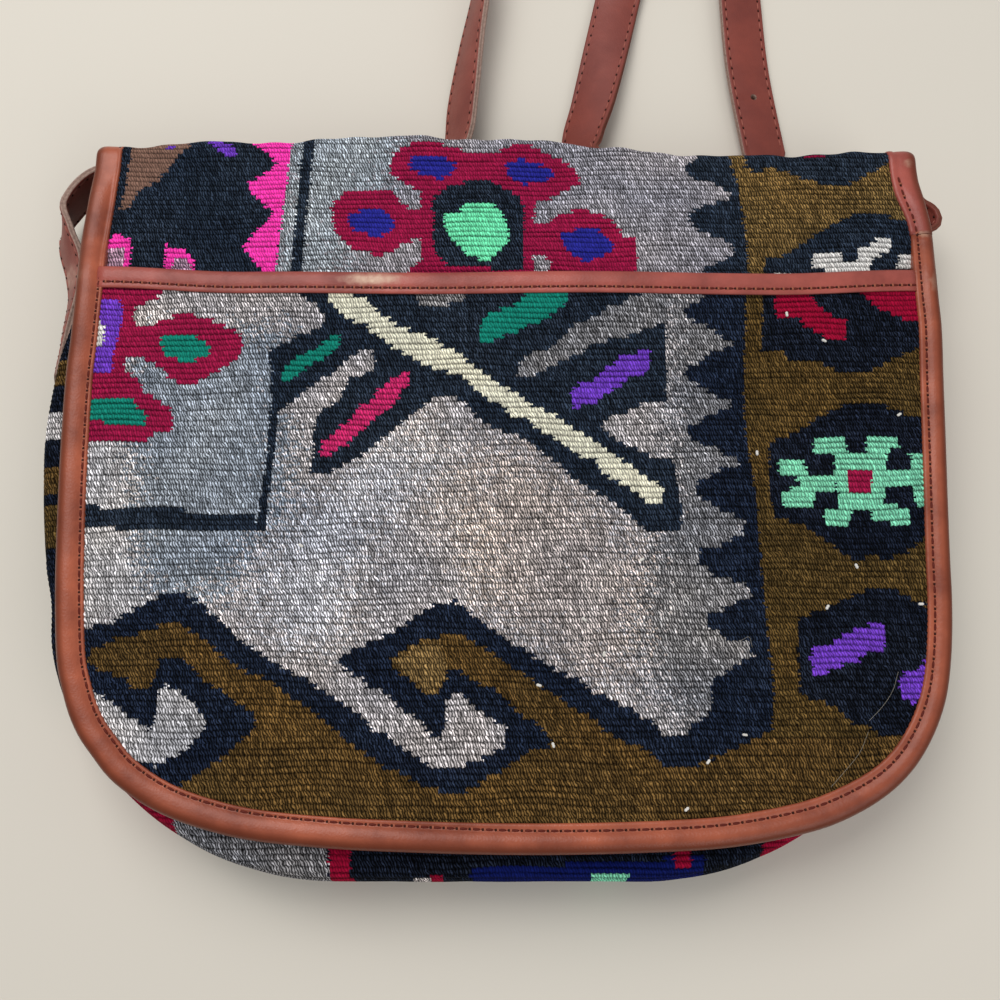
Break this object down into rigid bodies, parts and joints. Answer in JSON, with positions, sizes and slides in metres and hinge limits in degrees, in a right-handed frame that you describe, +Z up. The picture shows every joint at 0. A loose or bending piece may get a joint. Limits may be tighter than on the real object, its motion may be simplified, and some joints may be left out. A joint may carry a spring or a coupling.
{
  "type": "kilim messenger bag",
  "caption": "Flat-woven kilim messenger bag lying on its back, leather-bound flap with a slip pocket, lined pouch and a leather strap with a buckle laid out behind it.",
  "frame": {"origin": "on the underside of the back panel, in the middle of the bag, on the floor it lies on", "axes": "+X across the bag to the right when the flap faces the viewer, +Y from the bottom seam to the top edge and the straps, +Z up off the floor through the flap"},
  "size_m": [0.395, 0.5193, 0.0526],
  "materials": {
    "kilim_flap": "weft-faced wool kilim, ribbed, mottled grey-beige ground with traditional motifs",
    "kilim_body": "weft-faced wool kilim, ribbed, dark ground with coloured bands",
    "cotton_lining": "plain-woven cotton lining",
    "binding_leather": "glossy rust-brown leather with saddle stitching",
    "strap_leather": "satin red-brown leather, two layers sewn along both edges",
    "buckle_brass": "polished brass, slightly dulled"
  },
  "bodies": {
    "bag": {"back_panel": "kilim_body", "front_panel": "kilim_body", "gusset": "kilim_body", "lining": "cotton_lining", "mouth_binding": "binding_leather", "wall_binding_left": "binding_leather", "wall_binding_right": "binding_leather", "long_strap": "strap_leather", "short_strap": "strap_leather", "buckle_frame": "buckle_brass", "strap_keeper": "strap_leather"},
    "flap": {"flap_kilim": "kilim_flap", "flap_lining": "cotton_lining", "flap_pocket_panel": "kilim_flap", "pocket_mouth_binding": "binding_leather", "flap_edge_binding": "binding_leather", "flap_binding_joint": "binding_leather"},
    "prong": {"buckle_prong": "buckle_brass"}
  },
  "joints": [
    {"name": "flap_fold", "type": "hinge", "parent": "bag", "child": "flap", "pos_m": [0.001, 0.157, 0.0413], "axis": [-1, 0, 0], "range_deg": [0, 170]},
    {"name": "prong_swing", "type": "hinge", "parent": "bag", "child": "prong", "pos_m": [0.063, 0.3278, 0.00462], "axis": [1, 0, 0], "range_deg": [0, 120]}
  ]
}
